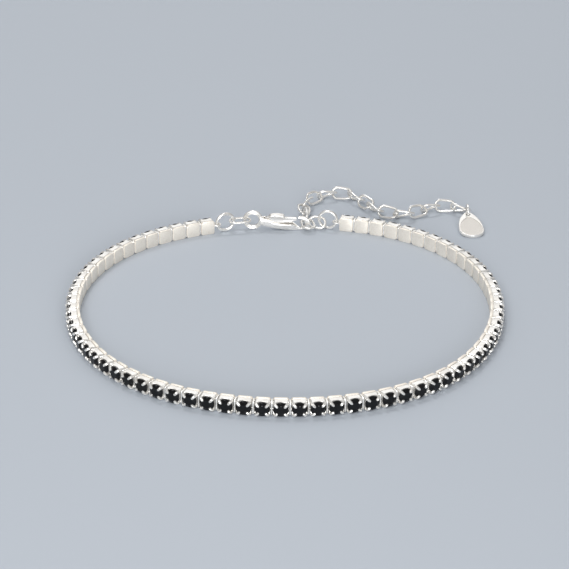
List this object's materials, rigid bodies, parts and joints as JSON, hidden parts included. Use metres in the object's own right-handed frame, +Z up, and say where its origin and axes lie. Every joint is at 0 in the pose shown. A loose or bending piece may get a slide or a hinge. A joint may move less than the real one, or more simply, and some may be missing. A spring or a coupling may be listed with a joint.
{
  "type": "tennis bracelet",
  "caption": "Silver tennis bracelet lying on its edge: a row of black round stones in square cups, closed by a lobster clasp, with an extender chain and a teardrop tag",
  "frame": {"origin": "on the surface that the bracelet lies on, under the middle of its bounding box", "axes": "+X to the right as in the picture, +Y away from the viewer towards the clasp and the extender, +Z up"},
  "size_m": [0.0604, 0.0684, 0.0031],
  "materials": {
    "silver": "polished silver with a bright rhodium plating",
    "silver_and_black_stone": "polished silver settings with black faceted stones"
  },
  "bodies": {
    "bracelet": {"stone_chain": "silver_and_black_stone", "clasp_ring": "silver", "extender_ring": "silver", "clasp_link": "silver", "clasp_body": "silver", "extender_first_link": "silver", "extender_link_01": "silver", "extender_link_02": "silver", "extender_link_03": "silver", "extender_link_04": "silver", "extender_link_05": "silver", "extender_link_06": "silver", "extender_link_07": "silver", "extender_link_08": "silver", "extender_link_09": "silver", "extender_link_10": "silver", "extender_link_11": "silver", "extender_link_12": "silver", "extender_link_13": "silver", "extender_link_14": "silver", "extender_link_15": "silver", "extender_link_16": "silver", "tag_ring": "silver", "teardrop_tag": "silver"},
    "lever": {"clasp_lever": "silver"}
  },
  "joints": [
    {"name": "clasp_lever_hinge", "type": "hinge", "parent": "bracelet", "child": "lever", "pos_m": [-0.00292, 0.02202, 0.00145], "axis": [0, 1, 0], "range_deg": [0, 15], "stiffness_Nm_per_rad": 0.00002, "springref_deg": -14.9}
  ]
}
